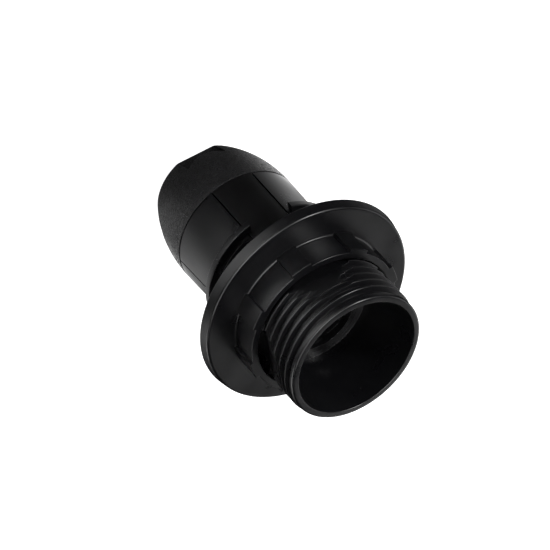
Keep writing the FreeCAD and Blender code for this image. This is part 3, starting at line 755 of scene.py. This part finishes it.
# Floor and light. Reflections see a dark studio with soft glows of white. Each glow has an azimuth,
# then a height in degrees (world) or a distance in millimetres (floor), a half width and a strength.
WORLD_GLOWS = {
    "backdrop": (120, 5, 32, 2.8), "fill_card": (310, 64, 26, 2.6), "left_wall": (165, 5, 30, 1.4),
    "rim_card": (10, 50, 17, 5.0)}
FLOOR_GLOWS = {
    "low_card": (300, 520, 330, 32.0), "side_card": (30, 200, 120, 7.5), "front_sheet": (320, 90, 60, 2.3),
    "left_sheet": (20, 40, 40, 1.03), "left_corner": (65, 20, 14, 2.2), "right_sheet": (180, 20, 16, 1.17),
    "right_corner": (160, 20, 14, 2.4), "right_card": (180, 45, 40, 1.13), "near_sheet": (0, 0, 45, 0.1),
    "left_edge": (350, 20, 10, 0.6)}
# Strength of the plain light that the colours are seen in
AMBIENT = 0.8


def soft_glow(tree, measure, from_min, from_max, strength):
    """Strength that rises smoothly as a measure goes from from_min to from_max."""
    return node(tree, "ShaderNodeMapRange",
                {"interpolation_type": "SMOOTHSTEP", "From Min": from_min, "From Max": from_max,
                 "To Min": 0.0, "To Max": strength},
                {"Value": (measure, "Value")})


def sum_of(tree, glows):
    """Adds up the strengths of several glows."""
    total = (glows[0], "Result")
    for glow in glows[1:]:
        total = (node(tree, "ShaderNodeMath", {"operation": "ADD"}, {0: total, 1: (glow, "Result")}),
                 "Value")
    return total


def ray_strength(tree, reflected, ambient):
    """White to camera and transmission rays, the studio to glossy rays, plain light to the others."""
    path = node(tree, "ShaderNodeLightPath")
    seen = node(tree, "ShaderNodeMath", {"operation": "MAXIMUM"},
                {0: (path, "Is Camera Ray"), 1: (path, "Is Transmission Ray")})
    plain = node(tree, "ShaderNodeMapRange", {"To Min": ambient, "To Max": 1.0}, {"Value": (seen, "Value")})
    return node(tree, "ShaderNodeMix", {"data_type": "FLOAT"},
                {"Factor": (path, "Is Glossy Ray"), "A": (plain, "Result"), "B": reflected})


def lay_floor():
    """A sweep of white paper. Reflections take its glow alone, other rays its pale paper."""
    reach = 4000 * MM
    mesh = bpy.data.meshes.new("floor")
    mesh.from_pydata([(-reach, -reach, 0), (reach, -reach, 0), (reach, reach, 0), (-reach, reach, 0)],
                     [], [(0, 1, 2, 3)])
    floor = in_scene("floor", mesh)
    floor.location = (0, 0, -0.05 * MM)
    material = empty_material("white_paper_sweep")
    material.cycles.emission_sampling = "NONE"
    place = node(material, "ShaderNodeTexCoord")
    glows = []
    for azimuth, distance, width, strength in FLOOR_GLOWS.values():
        turn = math.radians(azimuth)
        centre = Vector((math.cos(turn), math.sin(turn), 0)) * distance * MM
        away = node(material, "ShaderNodeVectorMath", {"operation": "DISTANCE", 1: centre},
                    {0: (place, "Object")})
        glows.append(soft_glow(material, away, width * MM, 0.0, strength))
    seen = ray_strength(material, sum_of(material, glows), 0.0)
    path = node(material, "ShaderNodeLightPath")
    paper = node(material, "ShaderNodeMix",
                 {"data_type": "RGBA", "A": linear("#e6e6e6"), "B": linear("#000000")},
                 {"Factor": (path, "Is Glossy Ray")})
    shader = node(material, "ShaderNodeBsdfPrincipled",
                  {"Roughness": 0.9, "Specular IOR Level": 0.0, "Emission Color": (1, 1, 1, 1)},
                  {"Base Color": (paper, "Result"), "Emission Strength": (seen, "Result")})
    node(material, "ShaderNodeOutputMaterial", {}, {"Surface": (shader, "BSDF")})
    mesh.materials.append(material)


def light_world():
    """The studio around the part, plain white where the camera looks past it."""
    world = bpy.data.worlds.new("studio")
    bpy.context.scene.world = world
    world.use_nodes = True
    world.cycles.sampling_method = "NONE"
    world.node_tree.nodes.clear()
    place = node(world, "ShaderNodeTexCoord")
    glows = []
    for azimuth, height, width, strength in WORLD_GLOWS.values():
        turn = math.radians(azimuth)
        rise = math.radians(height)
        toward = (math.cos(rise) * math.cos(turn), math.cos(rise) * math.sin(turn), math.sin(rise))
        facing = node(world, "ShaderNodeVectorMath", {"operation": "DOT_PRODUCT", 1: toward},
                      {0: (place, "Generated")})
        glows.append(soft_glow(world, facing, math.cos(math.radians(width)), 1.0, strength))
    seen = ray_strength(world, sum_of(world, glows), AMBIENT)
    back = node(world, "ShaderNodeBackground", {"Color": (1, 1, 1, 1)}, {"Strength": (seen, "Result")})
    node(world, "ShaderNodeOutputWorld", {}, {"Surface": (back, "Background")})


def softbox(name, direction, width, height, power, diffuse=True):
    """A soft lamp at a direction from the part's middle, in millimetres and watts."""
    middle = Vector((0, 0, 32))
    distance = 900
    lamp = bpy.data.lights.new(name, "AREA")
    lamp.shape = "RECTANGLE"
    lamp.size = width * MM
    lamp.size_y = height * MM
    lamp.energy = power
    obj = bpy.data.objects.new(name, lamp)
    toward = Vector(direction).normalized()
    obj.location = (middle + toward * distance) * MM
    obj.rotation_euler = toward.to_track_quat("Z", "Y").to_euler()
    obj.visible_diffuse = diffuse
    bpy.context.scene.collection.objects.link(obj)


bpy.context.scene.view_settings.view_transform = "Standard"
camera_like_photo()
lay_floor()
light_world()
softbox("key_softbox", (-0.5, -0.56, 0.65), 130, 130, 4.4)
# Seen in reflections only, it draws light lines along the crests and rounded edges.
softbox("edge_strip", (0.235, -0.407, 0.883), 600, 60, 3.5, diffuse=False)
